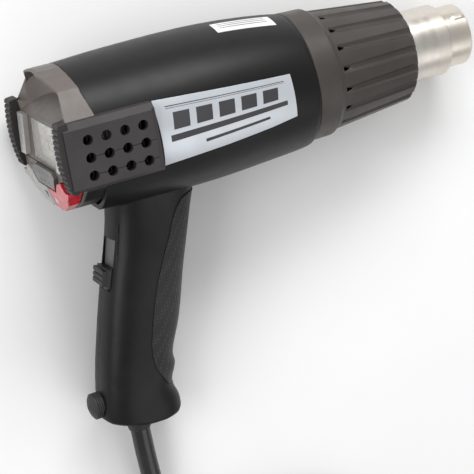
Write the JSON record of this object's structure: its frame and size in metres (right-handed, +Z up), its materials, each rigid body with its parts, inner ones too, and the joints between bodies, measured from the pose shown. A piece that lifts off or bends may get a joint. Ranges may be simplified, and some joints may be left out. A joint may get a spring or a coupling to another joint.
{
  "type": "heat gun",
  "caption": "Pistol-grip hot-air gun with rear display and keys, vented intake panels, ribbed sleeve and stainless outlet, lying on its side with its mains cord wound up beside it.",
  "frame": {"origin": "centre of the bottom of the bounding box of the gun without its free cord, lying at rest on its left side", "axes": "+X from the rear display towards the outlet, parallel to the table; +Y from the foot of the handle towards the top of the body; +Z up from the table"},
  "size_m": [0.2678, 0.4173, 0.0966],
  "materials": {
    "body": "fine-grained satin black",
    "cover": "satin taupe",
    "bezel": "satin taupe frame",
    "window": "clear display window",
    "lcd": "warm grey liquid crystal panel",
    "board": "green laminate",
    "key_dark": "mid grey key",
    "rail": "light grey rail beside the display",
    "key_red": "crimson key",
    "key_light": "light grey key",
    "bumper": "matt black rubber",
    "panel": "dark brown-grey",
    "mesh": "woven wire",
    "knob": "black",
    "shutter": "dark grey",
    "black_part": "moulded black",
    "grip": "matt soft grip",
    "foot": "ribbed rubber",
    "sleeve": "dark taupe heat-resistant",
    "steel": "turned stainless",
    "mica": "mica sheet",
    "ceramic": "unglazed ceramic",
    "wire": "resistance wire",
    "can": "zinc-plated can",
    "brass": "bare brass",
    "rubber": "black rubber",
    "lead": "silicone-insulated lead",
    "screw": "blackened steel screw",
    "label_silver": "satin foil plate, blank",
    "label_white": "white film, blank",
    "cord": "glossy black cord",
    "tie": "hook-and-loop strap",
    "plug": "moulded black plug"
  },
  "bodies": {
    "gun": {"housing_right": "body", "housing_left": "body", "rear_cover": "cover", "display_bezel": "bezel", "lcd_window": "window", "display_rail_right": "rail", "display_rail_left": "rail", "lcd_module": "lcd", "control_board": "board", "bumper_right": "bumper", "bumper_left": "bumper", "vent_panel_right": "panel", "vent_panel_left": "panel", "intake_mesh_right": "mesh", "intake_mesh_left": "mesh", "switch_body": "black_part", "soft_grip": "grip", "heel_foot": "foot", "protective_sleeve": "sleeve", "outlet_nozzle": "steel", "heater_base": "steel", "mica_tube": "mica", "heater_former": "ceramic", "heater_coil": "wire", "thermocouple": "steel", "motor_can": "can", "motor_bushes": "brass", "motor_mount": "black_part", "power_board": "board", "cord_gland": "rubber", "clamp_bar": "black_part", "clamp_base": "black_part", "clamp_screws": "screw", "mains_leads": "rubber", "motor_leads": "lead", "heater_leads": "lead", "housing_screws": "screw", "side_label": "label_silver", "top_label": "label_white", "power_cord": "cord", "cord_coil": "cord", "cord_tail": "cord", "cord_tie": "tie", "plug_boot": "rubber", "plug_body": "plug", "plug_pins": "brass"},
    "fan": {"impeller": "black_part", "motor_shaft": "steel", "motor_armature": "can"},
    "switch": {"switch_knob": "knob", "switch_shutter": "shutter"},
    "program_key": {"key_program": "key_dark"},
    "up_key": {"key_up": "key_red"},
    "down_key": {"key_down": "key_light"}
  },
  "joints": [
    {"name": "fan_spin", "type": "hinge", "parent": "gun", "child": "fan", "pos_m": [-0.05442, 0.06193, 0.04407], "axis": [0.9953, 0, -0.0965], "continuous": true},
    {"name": "switch_slide", "type": "slide", "parent": "gun", "child": "switch", "axis": [0.259, 0.9517, 0.1649], "range_m": [0, 0.014]},
    {"name": "key_program_press", "type": "slide", "parent": "gun", "child": "program_key", "axis": [0.9953, 0, -0.0965], "range_m": [0, 0.0008], "stiffness_N_per_m": 400},
    {"name": "key_up_press", "type": "slide", "parent": "gun", "child": "up_key", "axis": [0.9953, 0, -0.0965], "range_m": [0, 0.0008], "stiffness_N_per_m": 400},
    {"name": "key_down_press", "type": "slide", "parent": "gun", "child": "down_key", "axis": [0.9953, 0, -0.0965], "range_m": [0, 0.0008], "stiffness_N_per_m": 400}
  ]
}
